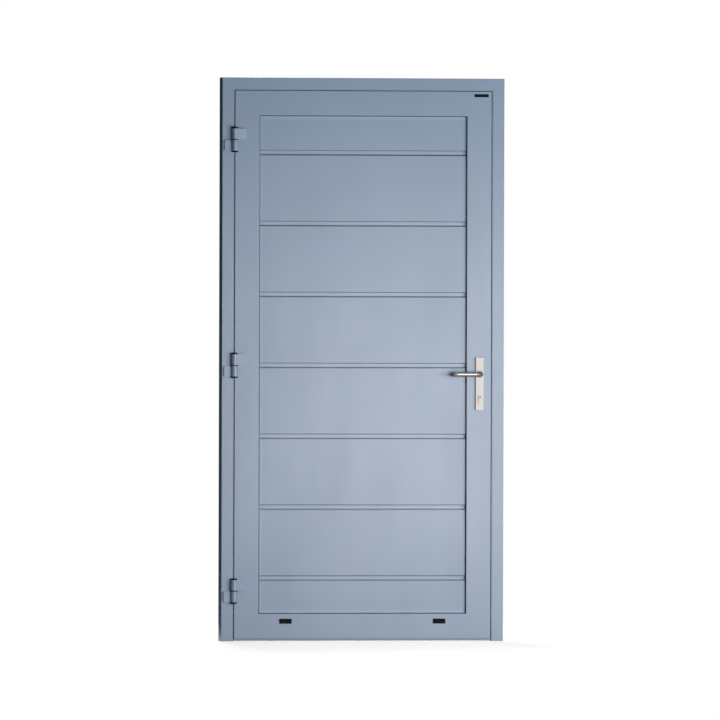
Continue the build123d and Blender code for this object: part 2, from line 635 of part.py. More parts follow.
# Handle plates, the inner one mirrored about the middle of the leaf
leaf_middle = facing(FRONT_Y + LEAF_D / 2)
with BuildPart() as outer_plate:
    with BuildSketch(facing(FRONT_Y)):
        with Locations((LOCK_X, LEVER_Z + PLATE_ABOVE - PLATE_L / 2)):
            Rectangle(PLATE_W, PLATE_L)
    extrude(amount=PLATE_T)
    chamfer(outer_plate.edges().filter_by(Axis.Y), PLATE_CHAMFER)
    chamfer(outer_plate.faces().sort_by(Axis.Y)[0].edges(), PLATE_CHAMFER)
    journal_hole_r = JOURNAL_R + JOURNAL_FIT
    extrude(spindle_hole(facing(FRONT_Y), journal_hole_r), amount=PLATE_T, mode=Mode.SUBTRACT)
    extrude(cylinder_section(facing(FRONT_Y), CYLINDER_FIT), amount=PLATE_T, mode=Mode.SUBTRACT)
outer_plate.part.label = "outer_plate"
export_step(outer_plate.part, "parts/outer_plate.step")

with BuildPart() as inner_plate:
    mirror(outer_plate.part, about=leaf_middle)
inner_plate.part.label = "inner_plate"
export_step(inner_plate.part, "parts/inner_plate.step")

# Levers: a round bar bent out from the plate, along it, and back towards the leaf at its tip
bar_y = FRONT_Y - LEVER_OUT
tip_x = LOCK_X - LEVER_LENGTH
collar_y = FRONT_Y - PLATE_T - COLLAR_GAP
journal_y = FRONT_Y - COLLAR_GAP
with BuildPart() as outer_lever:
    with BuildLine() as bar:
        FilletPolyline(
            (LOCK_X, collar_y, LEVER_Z),
            (LOCK_X, bar_y, LEVER_Z),
            (tip_x, bar_y, LEVER_Z),
            (tip_x, bar_y + LEVER_RETURN, LEVER_Z),
            radius=LEVER_BEND_R,
        )
    with BuildSketch(Plane(origin=bar.line @ 0, z_dir=bar.line % 0)):
        Circle(LEVER_R)
    sweep()
    chamfer(outer_lever.faces().filter_by(Axis.Y).sort_by(Axis.X)[0].edges(), TIP_CHAMFER)
    extrude(spindle_hole(facing(collar_y), COLLAR_R), amount=COLLAR_T)
    extrude(spindle_hole(facing(journal_y), JOURNAL_R), amount=PLATE_T)
    with BuildSketch(facing(journal_y)):
        with Locations((LOCK_X, LEVER_Z)):
            Rectangle(SPINDLE_W + 2 * SPINDLE_FIT, SPINDLE_W + 2 * SPINDLE_FIT)
    extrude(amount=SPINDLE_BITE, mode=Mode.SUBTRACT)
outer_lever.part.label = "outer_lever"
export_step(outer_lever.part, "parts/outer_lever.step")

with BuildPart() as inner_lever:
    mirror(outer_lever.part, about=leaf_middle)
inner_lever.part.label = "inner_lever"
export_step(inner_lever.part, "parts/inner_lever.step")

spindle_reach = SPINDLE_BITE + COLLAR_GAP - SPINDLE_FIT
with BuildPart() as spindle:
    with BuildSketch(facing(FRONT_Y - spindle_reach)):
        with Locations((LOCK_X, LEVER_Z)):
            Rectangle(SPINDLE_W, SPINDLE_W)
    extrude(amount=-(LEAF_D + 2 * spindle_reach))
spindle.part.label = "spindle"
export_step(spindle.part, "parts/spindle.step")
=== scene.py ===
import math

import bmesh
import bpy
from bpy.props import FloatProperty, FloatVectorProperty, IntProperty, PointerProperty
from mathutils import Matrix, Vector


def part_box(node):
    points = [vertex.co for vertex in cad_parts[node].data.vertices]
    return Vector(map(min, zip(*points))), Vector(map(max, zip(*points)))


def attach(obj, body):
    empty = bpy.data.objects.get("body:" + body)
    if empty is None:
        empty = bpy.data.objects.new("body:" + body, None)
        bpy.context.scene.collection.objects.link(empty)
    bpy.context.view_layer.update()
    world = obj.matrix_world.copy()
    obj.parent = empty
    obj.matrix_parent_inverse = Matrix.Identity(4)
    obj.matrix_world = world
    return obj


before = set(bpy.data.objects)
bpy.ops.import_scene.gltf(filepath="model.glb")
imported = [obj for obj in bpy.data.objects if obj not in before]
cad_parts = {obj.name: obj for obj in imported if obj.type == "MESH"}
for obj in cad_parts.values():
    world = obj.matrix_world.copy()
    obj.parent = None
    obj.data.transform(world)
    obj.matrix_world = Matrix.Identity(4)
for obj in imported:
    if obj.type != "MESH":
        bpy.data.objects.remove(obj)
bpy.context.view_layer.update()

bl_info = {
    "name": "Utility door",
    "version": (1, 0, 0),
    "blender": (4, 5, 0),
    "location": "3D View > Sidebar > Door",
    "description": "Finishes, small fittings and a studio for a hinged utility door with its frame",
    "category": "Object",
}

MM = 0.001
# Below this, in metres, two levels count as one
TINY = 1e-6

# The boards and the recessed band along each one's lower edge
BOARDS = 8
BAND_HEIGHT = 15.5 * MM
BAND_DEPTH = 7 * MM

# Painted light on the boards: a painted highlight along the panel's rim, painted shade along the bands'
# edges and in the panel's left corner, and a line of painted shade where the boards meet at the back:
# where they fade, how strong they are and how light
RIM_LIGHT_FADE = -4 * MM, 24 * MM
END_RIM_LIGHT, SIDE_RIM_LIGHT, RIM_LIGHT_TONE = 0.9, 0.5, 1.4
SHADE_LINE_FADE = 0.4 * MM, 2.2 * MM
CORNER_SHADE_FADE = 3 * MM, 6.5 * MM
LOWER_SHADE_LINE, UPPER_SHADE_LINE, CORNER_SHADE_SHARE = 0.84, 0.64, 0.75
SHADE_LINE_TONE, SHADE_LINE_MATT = 0.25, 0.5
JOINT_SHADE_FADE = 0.4 * MM, 1.4 * MM
JOINT_SHADE_SHARE = 0.7

# Painted dark reflection on the levers: the front of the bar keeps its lit look, the rest is painted
# darker and more matt
LIT_BAR_DEPTH = 13 * MM
LIT_BAR_FADE = -8 * MM, 2 * MM
NECK_SHADE_FADE = 10 * MM, 22 * MM
DARK_REFLECTION_TONE, DARK_REFLECTION_MATT = 0.45, 0.15

# Pieces that are a little lighter, darker or more matt than the finish they share: the hinges are painted
# lighter as painted light, the strike plate darker as painted shade in the gap
HINGE_LIGHT_TONE, STRIKE_SHADE_TONE, PLUG_TONE = 1.06, 0.35, 0.96
BOARD_MATT, STRIP_MATT = 0.01, 0.08

# Camera and floor
SENSOR_WIDTH = 36
CLIP_END = 300
FLOOR_SIZE = 60
FLOOR_DROP = 0.5 * MM


def srgb(red, green, blue):
    """A colour given as 0 to 255 on the screen, as Blender's linear values."""
    def linear(value):
        value /= 255
        return value / 12.92 if value <= 0.04045 else ((value + 0.055) / 1.055) ** 2.4
    return linear(red), linear(green), linear(blue)


def colour_of(name, description, default):
    return FloatVectorProperty(
        name=name, description=description, default=default, subtype="COLOR", size=3, min=0, max=1)


def length_of(name, description, default):
    return FloatProperty(name=name, description=description, default=default, unit="LENGTH", min=0)


def share_of(name, description, default):
    return FloatProperty(
        name=name, description=description, default=default, subtype="FACTOR", min=0, max=1)


def angle_of(name, description, degrees):
    return FloatProperty(
        name=name, description=description, default=math.radians(degrees), subtype="ANGLE")


def power_of(name, description, default):
    return FloatProperty(name=name, description=description, default=default, unit="POWER", min=0)


def place_of(name, description, default):
    return FloatVectorProperty(
        name=name, description=description, default=default, subtype="TRANSLATION", size=3)


def sides_of(name, description, default):
    return FloatVectorProperty(
        name=name, description=description, default=default, unit="LENGTH", size=2, min=0)


class DoorFinishes(bpy.types.PropertyGroup):
    """Colours and gloss of the door's surfaces."""
    paint: colour_of("Paint", "Powder coat of the frame, the leaf and the hinges", srgb(100, 123, 146))
    paint_roughness: share_of("Paint roughness", "How matt the powder coat is", 0.3)
    strip: colour_of("Drip strip", "Coating of the strip under the leaf", srgb(88, 106, 127))
    plastic: colour_of("Plastic", "Moulded caps, washers and drain hoods", srgb(10, 10, 11))
    rubber: colour_of("Rubber", "Seal around the leaf", srgb(20, 21, 23))
    infill_rubber: colour_of("Infill rubber", "Seal around the boards", srgb(62, 74, 88))
    plate: colour_of("Handle plate", "Satin plate under the lever", srgb(166, 166, 164))
    lever: colour_of("Lever", "Brushed stainless steel of the levers", srgb(138, 135, 131))
    zinc: colour_of("Zinc", "Plated steel of the lock, bolts and strike", srgb(128, 131, 133))
    nickel: colour_of("Nickel", "Plated key cylinder", srgb(163, 162, 158))
    mill: colour_of("Mill aluminium", "Untreated extrusion of the threshold", srgb(150, 153, 156))


class DoorFittings(bpy.types.PropertyGroup):
    """Sizes of the small fittings added to the solids."""
    plate_width: length_of("Corner plate width", "Bare plate near the leaf's upper corner", 54 * MM)
    plate_height: length_of("Corner plate height", "Bare plate near the leaf's upper corner", 11 * MM)
    plate_thickness: length_of("Corner plate thickness", "How far the plate stands off the rail", 1.6 * MM)
    plate_drop: length_of("Corner plate drop", "From the leaf's top edge to its middle", 15.5 * MM)
    plate_inset: length_of("Corner plate inset", "From the leaf's side edge to its middle", 38.8 * MM)
    screw_radius: length_of("Screw head radius", "Countersunk heads in the lock's plates", 4.2 * MM)
    screw_inset: length_of("Screw inset", "From a plate's end to its screw", 12 * MM)
    screw_lobes: IntProperty(
        name="Screw lobes", description="Lobes of the driver recess", default=6, min=4, max=8)
    trim_left: length_of("Left trim", "Edge strip that narrows the gap on the hinge side", 2.1 * MM)
    trim_right: length_of("Right trim", "Edge strip that narrows the gap on the lock side", 2.7 * MM)
    trim_top: length_of("Top trim", "Edge strip that narrows the gap over the leaf", 3.2 * MM)
    trim_depth: length_of("Trim depth", "How deep the edge strips are", 5 * MM)
    trim_setback: length_of("Trim setback", "From the frame's face back to the edge strips", 0.3 * MM)
    plug_radius: length_of("Key plug radius", "Turning plug in the key cylinder's face", 6.8 * MM)
    plug_lift: length_of("Key plug lift", "How far the plug stands off the cylinder's face", 1 * MM)
    slot_width: length_of("Key slot width", "Slot in the turning plug, which lies flat", 10.8 * MM)
    slot_height: length_of("Key slot height", "Slot in the turning plug, which lies flat", 3 * MM)


class DoorStudio(bpy.types.PropertyGroup):
    """Camera, lamps, room light and floor."""
    lens: FloatProperty(name="Lens", description="Focal length", default=700, unit="CAMERA", min=10)
    distance: length_of("Distance", "Camera from the middle of the door", 52.21)
    turn: angle_of("Turn", "Camera turned towards the hinges", 9.5)
    rise: angle_of("Rise", "Camera above the horizon", 0.3)
    roll: angle_of("Roll", "Camera leaning about its own axis", 0.16)
    aim: place_of("Aim", "Point in the middle of the picture", (-0.0116, -0.035, 1.0486))
    key_power: power_of("Key", "Lamp from the right", 184)
    key_tint: colour_of("Key tint", "Colour of the lamp from the right", (1, 0.95, 0.91))
    key_place: place_of("Key place", "Where the lamp from the right stands", (3.6, -4.4, 1.0))
    key_size: sides_of("Key size", "Width and height of the lamp from the right", (1.5, 1.5))
    sheen_power: power_of("Sheen", "Soft box in front", 88)
    sheen_tint: colour_of("Sheen tint", "Colour of the soft box", (0.94, 0.88, 0.88))
    sheen_place: place_of("Sheen place", "Where the soft box stands", (0.9, -4.3, 0.78))
    sheen_aim: place_of("Sheen aim", "Point that the soft box faces", (0.3, 0, 0.9))
    sheen_size: sides_of("Sheen size", "Width and height of the soft box", (1.2, 1.55))
    back_power: power_of("Back", "Lamp behind the door", 160)
    back_place: place_of("Back place", "Where the lamp behind the door hangs", (0, 3.3, 2.9))
    back_size: sides_of("Back size", "Width and height of the lamp behind the door", (1.0, 1.8))
    lamp_aim: place_of("Lamp aim", "Point that the other two lamps face", (0, 0, 1.0))
    ambient: share_of("Ambient", "Light of the room on the open side", 0.22)
    least_ambient: share_of("Least ambient", "Light of the room on the hinge side", 0.03)
    floor: colour_of("Floor", "Plain floor under the door", (0.8, 0.8, 0.8))
    floor_glow: share_of("Floor glow", "How far the floor is lifted towards white", 0.62)
    fade_start: length_of("Fade start", "From the door's middle to where the floor starts to fade", 1.2)
    fade_end: length_of("Fade end", "From the door's middle to where the floor is white", 3.2)


class Sock:
    """An output socket of a node tree. Arithmetic on it adds Math nodes."""

    def __init__(self, tree, socket=None):
        self.tree = tree
        self.socket = socket

    def node(self, kind, settings=None, inputs=None, out=0):
        """Adds a node: first its settings, then the values or links of its sockets."""
        made = self.tree.nodes.new(kind)
        for name, value in (settings or {}).items():
            setattr(made, name, value)
        for name, value in (inputs or {}).items():
            if isinstance(value, Sock):
                self.tree.links.new(value.socket, made.inputs[name])
            else:
                made.inputs[name].default_value = value
        return Sock(self.tree, made.outputs[out] if made.outputs else None)

    def math(self, operation, first, second=0.0):
        return self.node("ShaderNodeMath", {"operation": operation}, {0: first, 1: second})

    def __add__(self, other):
        return self.math("ADD", self, other)

    def __radd__(self, other):
        return self.math("ADD", other, self)

    def __sub__(self, other):
        return self.math("SUBTRACT", self, other)

    def __rsub__(self, other):
        return self.math("SUBTRACT", other, self)

    def __mul__(self, other):
        return self.math("MULTIPLY", self, other)

    def __rmul__(self, other):
        return self.math("MULTIPLY", other, self)


def fresh_material(name):
    """A material with no nodes, and a socket to start from."""
    material = bpy.data.materials.new(name)
    material.use_nodes = True
    material.node_tree.nodes.clear()
    return material, Sock(material.node_tree)


def object_place(start, stretch=(1, 1, 1)):
    """Object coordinates, stretched along the axes."""
    place = start.node("ShaderNodeTexCoord", out="Object")
    return start.node("ShaderNodeMapping", inputs={"Vector": place, "Scale": stretch})


def along(start, place, axis):
    """One of a place's three coordinates."""
    return start.node("ShaderNodeSeparateXYZ", inputs={0: place}, out=axis)


def noise(start, place, scale, detail=2.0, rough=0.5):
    return start.node(
        "ShaderNodeTexNoise", {"normalize": True},
        {"Vector": place, "Scale": scale, "Detail": detail, "Roughness": rough})


def smooth_step(start, value, low, high):
    """0 below low, 1 above high and an eased slope between them."""
    return start.node(
        "ShaderNodeMapRange", {"interpolation_type": "SMOOTHSTEP"},
        {"Value": value, "From Min": low, "From Max": high})


def blend_colours(start, share, first, second):
    """A colour between two others."""
    def four(colour):
        return colour if isinstance(colour, Sock) else (*colour[:3], 1)
    return start.node(
        "ShaderNodeMix", {"data_type": "RGBA"}, {0: share, 6: four(first), 7: four(second)}, out=2)


def scaled(colour, share):
    return tuple(min(1.0, part * share) for part in colour)


def close_surface(start, base, roughness, height, depth, strength, **fixed):
    """The surface shader: what varies is linked, the rest is set on its own sockets."""
    bump = start.node(
        "ShaderNodeBump", inputs={"Strength": strength, "Distance": depth, "Height": height})
    inputs = {"Base Color": base, "Roughness": roughness, "Normal": bump}
    inputs.update({name.replace("_", " "): value for name, value in fixed.items()})
    surface = start.node("ShaderNodeBsdfPrincipled", inputs=inputs)
    start.node("ShaderNodeOutputMaterial", inputs={"Surface": surface})


def banded(start, place, base, colour, tone, first, pitch, height, floor, rim):
    """Painted light on the boards, whose bands repeat up the panel: the band floors are painted brighter,
    as if lit by bounce light, painted shade runs along the bands' edges and in the panel's left corner, a
    painted highlight lies along the panel's rim, given as its left side, its foot and its top, and at the
    back painted shade lies where the boards meet. Gives the colour and the share of painted shade."""
    across, depth, level = (along(start, place, axis) for axis in "XYZ")
    left, foot, top = rim
    # Painted highlight: near the panel's foot, top and left side the boards are painted lighter, standing
    # in for light thrown off the rim
    from_ends = start.math("MINIMUM", level - foot, top - level)
    end_rim_light = (1.0 - smooth_step(start, from_ends, *RIM_LIGHT_FADE)) * END_RIM_LIGHT
    side_rim_light = (1.0 - smooth_step(start, across - left, *RIM_LIGHT_FADE)) * SIDE_RIM_LIGHT
    rim_light = start.math("MAXIMUM", end_rim_light, side_rim_light)
    base = blend_colours(start, rim_light, base, scaled(colour, RIM_LIGHT_TONE))
    front = 1.0 - smooth_step(start, depth, floor + 1 * MM, floor + 3 * MM)
    # Painted light: the sunk band floors are painted 10 to 18 % lighter, standing in for light bouncing in
    # the recess
    sunk = smooth_step(start, depth, floor - 2 * MM, floor - 0.5 * MM) * front
    painted_band_light = blend_colours(start, tone, scaled(colour, 1.1), scaled(colour, 1.18))
    base = blend_colours(start, sunk, base, painted_band_light)
    # Painted shade: darker, more matt lines along both edges of each band, stronger along the lower one,
    # in the panel's left corner and, at the back, where the boards meet
    from_middle = start.math("PINGPONG", level - (first + height / 2), pitch / 2)
    from_edge = start.math("ABSOLUTE", from_middle - height / 2)
    from_joint = start.math("PINGPONG", level - first, pitch / 2)
    upper = smooth_step(start, from_joint, height * 0.4, height * 0.6)
    share = LOWER_SHADE_LINE - upper * (LOWER_SHADE_LINE - UPPER_SHADE_LINE)
    edges = (1.0 - smooth_step(start, from_edge, *SHADE_LINE_FADE)) * share
    corner = (1.0 - smooth_step(start, across - left, *CORNER_SHADE_FADE)) * CORNER_SHADE_SHARE
    hair = (1.0 - smooth_step(start, from_joint, *JOINT_SHADE_FADE)) * (1.0 - front) * JOINT_SHADE_SHARE
    painted_shade = start.math("MAXIMUM", start.math("MAXIMUM", edges, corner) * front, hair)
    return blend_colours(start, painted_shade, base, scaled(colour, SHADE_LINE_TONE)), painted_shade


def powder_coat(name, colour, roughness, grain=850, bands=None):
    """Baked powder paint: a fine orange peel, faint clouds in the colour and rubbed gloss.
    On the boards the bands' floors are painted brighter as painted light, matt painted shade runs along
    their edges and a painted highlight lies along the panel's rim."""
    material, start = fresh_material(name)
    place = object_place(start)
    peel = noise(start, place, scale=grain, detail=3, rough=0.6)
    cloud = noise(start, place, scale=2.6, detail=4, rough=0.55)
    speck = noise(start, place, scale=2400, detail=1)
    tone = smooth_step(start, cloud * 0.8 + speck * 0.2, low=0.3, high=0.7)
    base = blend_colours(start, tone, scaled(colour, 0.96), scaled(colour, 1.04))
    rubbed = noise(start, object_place(start, stretch=(9, 9, 2.2)), scale=1, detail=5, rough=0.6)
    gloss = roughness - 0.05 + 0.1 * rubbed + 0.03 * peel
    if bands:
        # On the boards: painted light on the band floors and at the rim, painted shade along the bands'
        # edges, which is also more matt
        base, painted_shade = banded(start, place, base, colour, tone, **bands)
        gloss = gloss + painted_shade * SHADE_LINE_MATT
    close_surface(start, base, gloss, peel, depth=0.12 * MM, strength=0.35, Specular_IOR_Level=0.5)
    return material


def moulded_plastic(name, colour, roughness=0.45):
    """Moulded plastic with a spark-eroded grain."""
    material, start = fresh_material(name)
    place = object_place(start)
    grain = noise(start, place, scale=1800, detail=2, rough=0.7)
    cloud = noise(start, place, scale=60, detail=3)
    base = blend_colours(start, cloud, scaled(colour, 0.8), scaled(colour, 1.3))
    gloss = roughness - 0.06 + 0.12 * grain
    close_surface(start, base, gloss, grain, depth=0.08 * MM, strength=0.4, Specular_IOR_Level=0.04)
    return material


def seal_rubber(name, colour):
    """Extruded rubber: a fine grain and a dusty bloom."""
    material, start = fresh_material(name)
    place = object_place(start)
    bloom = noise(start, place, scale=35, detail=4, rough=0.6)
    grain = noise(start, place, scale=1400, detail=2)
    dusty = smooth_step(start, bloom, low=0.45, high=0.8)
    base = blend_colours(start, dusty, colour, scaled(colour, 1.9))
    gloss = 0.62 + 0.2 * bloom
    close_surface(start, base, gloss, grain, depth=0.1 * MM, strength=0.3, Specular_IOR_Level=0.15)
    return material


def brushed_metal(name, colour, roughness, stretch, metallic=1.0, contrast=0.12, reflection_zone=None):
    """Brushed metal, with hair lines along the axis that is stretched least.
    Where a middle plane, a reach and a neck are given, what lies nearer to that plane than the reach, or
    near the neck,
    is painted darker and more matt: a painted dark reflection, as of dark surroundings."""
    material, start = fresh_material(name)
    hairs = noise(start, object_place(start, stretch), scale=1, detail=3, rough=0.6)
    place = object_place(start)
    cloud = noise(start, place, scale=22, detail=3)
    tone = hairs * 0.75 + cloud * 0.25
    base = blend_colours(start, tone, scaled(colour, 1 - contrast), scaled(colour, 1 + contrast))
    gloss = roughness - 0.08 + 0.16 * hairs
    # Painted dark reflection: darker and more matt where the lever turns back towards the door and at its
    # neck
    if reflection_zone:
        middle, reach, neck = reflection_zone
        off = start.math("ABSOLUTE", along(start, place, "Y") - middle)
        lit_bar = smooth_step(start, off - reach, *LIT_BAR_FADE)
        past_neck = smooth_step(start, neck - along(start, place, "X"), *NECK_SHADE_FADE)
        dark_reflection = 1.0 - start.math("MINIMUM", lit_bar, past_neck)
        base = blend_colours(start, dark_reflection, base, scaled(colour, DARK_REFLECTION_TONE))
        gloss = gloss + dark_reflection * DARK_REFLECTION_MATT
    close_surface(start, base, gloss, hairs, depth=0.04 * MM, strength=0.35, Metallic=metallic)
    return material


def plated_steel(name, colour, roughness=0.32):
    """Zinc plating: a faint bloom in patches and fine pits."""
    material, start = fresh_material(name)
    place = object_place(start)
    bloom = noise(start, place, scale=55, detail=4, rough=0.6)
    pits = noise(start, place, scale=1500, detail=2)
    base = blend_colours(start, bloom, scaled(colour, 0.86), scaled(colour, 1.08))
    gloss = roughness - 0.07 + 0.2 * bloom
    close_surface(start, base, gloss, pits, depth=0.05 * MM, strength=0.25, Metallic=0.75)
    return material


def settings():
    scene = bpy.context.scene
    return scene.door_finishes, scene.door_fittings, scene.door_studio


def finish_nodes(material, *names):
    """Gives CAD nodes a material in place of the one they came with."""
    for name in names:
        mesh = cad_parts[name].data
        mesh.materials.clear()
        mesh.materials.append(material)


def mesh_object(name, bm, material):
    """Makes an object of a finished bmesh, with its place in its mesh."""
    mesh = bpy.data.meshes.new(name)
    bm.to_mesh(mesh)
    bm.free()
    mesh.materials.append(material)
    made = bpy.data.objects.new(name, mesh)
    bpy.context.scene.collection.objects.link(made)
    return made


def new_piece(name, bm, body, material):
    """Makes a piece of a finished bmesh, and sets what it rides on."""
    bmesh.ops.recalc_face_normals(bm, faces=bm.faces)
    piece = mesh_object(name, bm, material)
    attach(piece, body)


def facing_matrix(place, outwards):
    """Turns a shape that faces +Z to face outwards, and puts it in its place."""
    return Matrix.Translation(place) @ Vector(outwards).to_track_quat("Z", "Y").to_matrix().to_4x4()


def block(bm, middle, size):
    """A box with the given middle and sides."""
    matrix = Matrix.Translation(middle) @ Matrix.Diagonal((*size, 1))
    bmesh.ops.create_cube(bm, size=1, matrix=matrix)


def disc(bm, segments, radius):
    """A flat round face around the origin."""
    made = bmesh.ops.create_circle(bm, cap_ends=True, segments=segments, radius=radius)
    return made["verts"][0].link_faces[0]


def pull_face(bm, face, height):
    """Extrudes a face along Z, and gives the face that moved."""
    pulled = bmesh.ops.extrude_face_region(bm, geom=[face])
    moved = next(part for part in pulled["geom"] if isinstance(part, bmesh.types.BMFace))
    bmesh.ops.translate(bm, verts=moved.verts, vec=(0, 0, height))
    return moved


def round_edges(bm, edges, radius, segments):
    bmesh.ops.bevel(
        bm, geom=edges, offset=radius, affect="EDGES", segments=segments, profile=0.5, material=-1)


class DOOR_OT_paint(bpy.types.Operator):
    """Powder coat on the frame, the leaf and the boards"""
    bl_idname = "door.paint"
    bl_label = "Paint"

    def execute(self, context):
        finishes, _, _ = settings()
        paint, roughness = finishes.paint, finishes.paint_roughness
        profile = powder_coat("profile_paint", paint, roughness)
        finish_nodes(
            profile, "hinge_jamb", "lock_jamb", "head", "hinge_stile", "lock_stile", "top_rail",
            "bottom_rail", "bead_left", "bead_top", "bead_right", "bead_bottom")
        low, next_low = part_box("board_2")[0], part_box("board_3")[0]
        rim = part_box("hinge_stile")[1].x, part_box("bottom_rail")[1].z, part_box("top_rail")[0].z
        bands = {
            "first": low.z, "pitch": next_low.z - low.z, "height": BAND_HEIGHT,
            "floor": low.y + BAND_DEPTH, "rim": rim}
        boards = powder_coat("board_paint", paint, roughness + BOARD_MATT, grain=700, bands=bands)
        finish_nodes(boards, *(f"board_{number}" for number in range(1, BOARDS + 1)))
        strip = powder_coat("strip_paint", finishes.strip, roughness + STRIP_MATT)
        finish_nodes(strip, "drip_strip")
        return {"FINISHED"}


class DOOR_OT_hinges(bpy.types.Operator):
    """Finish of the hinges, their pins, washers and caps"""
    bl_idname = "door.hinges"
    bl_label = "Hinges"

    def execute(self, context):
        finishes, _, _ = settings()
        places = ("low", "middle", "top")
        # Painted light: the hinges' paint is made lighter than the frame's, standing in for how light
        # falls on the knuckles and wings
        colour = scaled(finishes.paint, HINGE_LIGHT_TONE)
        paint = powder_coat("hinge_paint", colour, finishes.paint_roughness, grain=1100)
        finish_nodes(paint, *(f"hinge_frame_{place}" for place in places))
        finish_nodes(paint, *(f"hinge_leaf_{place}" for place in places))
        pins = plated_steel("pin_steel", finishes.zinc)
        finish_nodes(pins, *(f"hinge_pin_{place}" for place in places))
        plastic = moulded_plastic("cap_plastic", finishes.plastic)
        finish_nodes(plastic, "hinge_washers", "hinge_bottom_caps", "hinge_top_caps")
        return {"FINISHED"}


class DOOR_OT_foot(bpy.types.Operator):
    """Finish of the threshold, the drain hoods and the seals"""
    bl_idname = "door.foot"
    bl_label = "Foot and seals"

    def execute(self, context):
        finishes, _, _ = settings()
        mill = brushed_metal("mill_aluminium", finishes.mill, roughness=0.42, stretch=(6, 900, 900))
        finish_nodes(mill, "threshold")
        finish_nodes(moulded_plastic("hood_plastic", finishes.plastic, roughness=0.5), "drain_hoods")
        finish_nodes(seal_rubber("seal_rubber", finishes.rubber), "frame_seal")
        finish_nodes(seal_rubber("infill_rubber", finishes.infill_rubber), "infill_seal")
        return {"FINISHED"}


class DOOR_OT_handle(bpy.types.Operator):
    """Finish of the handle plates, the levers and the key cylinder"""
    bl_idname = "door.handle"
    bl_label = "Handle"

    def execute(self, context):
        finishes, _, _ = settings()
        plate = brushed_metal(
            "plate_satin", finishes.plate, roughness=0.46, stretch=(1400, 1400, 18),
            metallic=0.15, contrast=0.04)
        finish_nodes(plate, "outer_plate", "inner_plate")
        front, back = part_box("outer_lever")[0].y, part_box("inner_lever")[1].y
        neck = (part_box("spindle")[0].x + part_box("spindle")[1].x) / 2
        # Painted dark reflection: the lever is painted darker towards the door and near its neck
        reflection_zone = ((front + back) / 2, (back - front) / 2 - LIT_BAR_DEPTH, neck)
        lever = brushed_metal(
            "lever_steel", finishes.lever, roughness=0.3, stretch=(20, 1500, 1500), reflection_zone=reflection_zone)
        finish_nodes(lever, "outer_lever", "inner_lever")
        nickel = brushed_metal(
            "cylinder_nickel", finishes.nickel, roughness=0.46, stretch=(1400, 1400, 60),
            metallic=0.2, contrast=0.05)
        finish_nodes(nickel, "key_cylinder")
        return {"FINISHED"}


class DOOR_OT_lock(bpy.types.Operator):
    """Finish of the mortise lock, its bolts, the spindle and the strike plate"""
    bl_idname = "door.lock"
    bl_label = "Lock"

    def execute(self, context):
        finishes, _, _ = settings()
        steel = plated_steel("lock_steel", finishes.zinc)
        finish_nodes(steel, "mortise_lock", "latch_bolt", "dead_bolt", "spindle")
        # Painted shade: the strike plate is made far darker than the zinc, standing in for the shade of
        # the gap it sits in
        strike = brushed_metal(
            "strike_steel", scaled(finishes.zinc, STRIKE_SHADE_TONE), roughness=0.42, stretch=(1500, 1500, 20))
        finish_nodes(strike, "strike_plate")
        return {"FINISHED"}


class DOOR_OT_corner_plate(bpy.types.Operator):
    """Bare plastic plate near the leaf's upper corner on the lock side"""
    bl_idname = "door.corner_plate"
    bl_label = "Corner plate"

    def front(self, bm):
        return min(bm.faces, key=lambda face: face.calc_center_median().y)

    def execute(self, context):
        finishes, fittings, _ = settings()
        corner_radius, edge_radius = 2.0 * MM, 0.5 * MM
        rim, sink = 0.7 * MM, 0.3 * MM
        low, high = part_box("top_rail")
        middle = Vector((
            high.x - fittings.plate_inset,
            low.y - fittings.plate_thickness / 2,
            high.z - fittings.plate_drop))
        bm = bmesh.new()
        block(bm, middle, (fittings.plate_width, fittings.plate_thickness, fittings.plate_height))
        corners = [edge for edge in bm.edges if abs(edge.verts[0].co.y - edge.verts[1].co.y) > TINY]
        round_edges(bm, corners, corner_radius, segments=5)
        round_edges(bm, list(self.front(bm).edges), edge_radius, segments=2)
        bmesh.ops.inset_region(bm, faces=[self.front(bm)], thickness=rim, depth=-sink)
        plastic = moulded_plastic("corner_plate_plastic", finishes.plastic, roughness=0.4)
        new_piece("corner_plate", bm, "leaf", plastic)
        return {"FINISHED"}


class DOOR_OT_rebate_trim(bpy.types.Operator):
    """Painted edge strips in the frame's rebate, along the gap around the leaf"""
    bl_idname = "door.rebate_trim"
    bl_label = "Rebate trim"

    def execute(self, context):
        finishes, fittings, _ = settings()
        paint = powder_coat("trim_paint", finishes.paint, finishes.paint_roughness)
        edge_radius = 0.5 * MM
        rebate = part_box("strike_plate")[1].x
        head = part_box("top_rail")[1].z + (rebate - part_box("lock_stile")[1].x)
        left, right, top = fittings.trim_left, fittings.trim_right, fittings.trim_top
        deep = fittings.trim_depth
        middle_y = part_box("lock_jamb")[0].y + fittings.trim_setback + deep / 2
        runs = (
            ("rebate_trim_left", (-rebate + left / 2, middle_y, head / 2), (left, deep, head)),
            ("rebate_trim_right", (rebate - right / 2, middle_y, head / 2), (right, deep, head)),
            ("rebate_trim_top", ((left - right) / 2, middle_y, head - top / 2),
             (2 * rebate - left - right, deep, top)),
        )
        for name, middle, size in runs:
            bm = bmesh.new()
            block(bm, middle, size)
            longest = max(edge.calc_length() for edge in bm.edges)
            long_edges = [edge for edge in bm.edges if edge.calc_length() > longest * 0.9]
            round_edges(bm, long_edges, edge_radius, segments=2)
            new_piece(name, bm, "frame", paint)
        return {"FINISHED"}


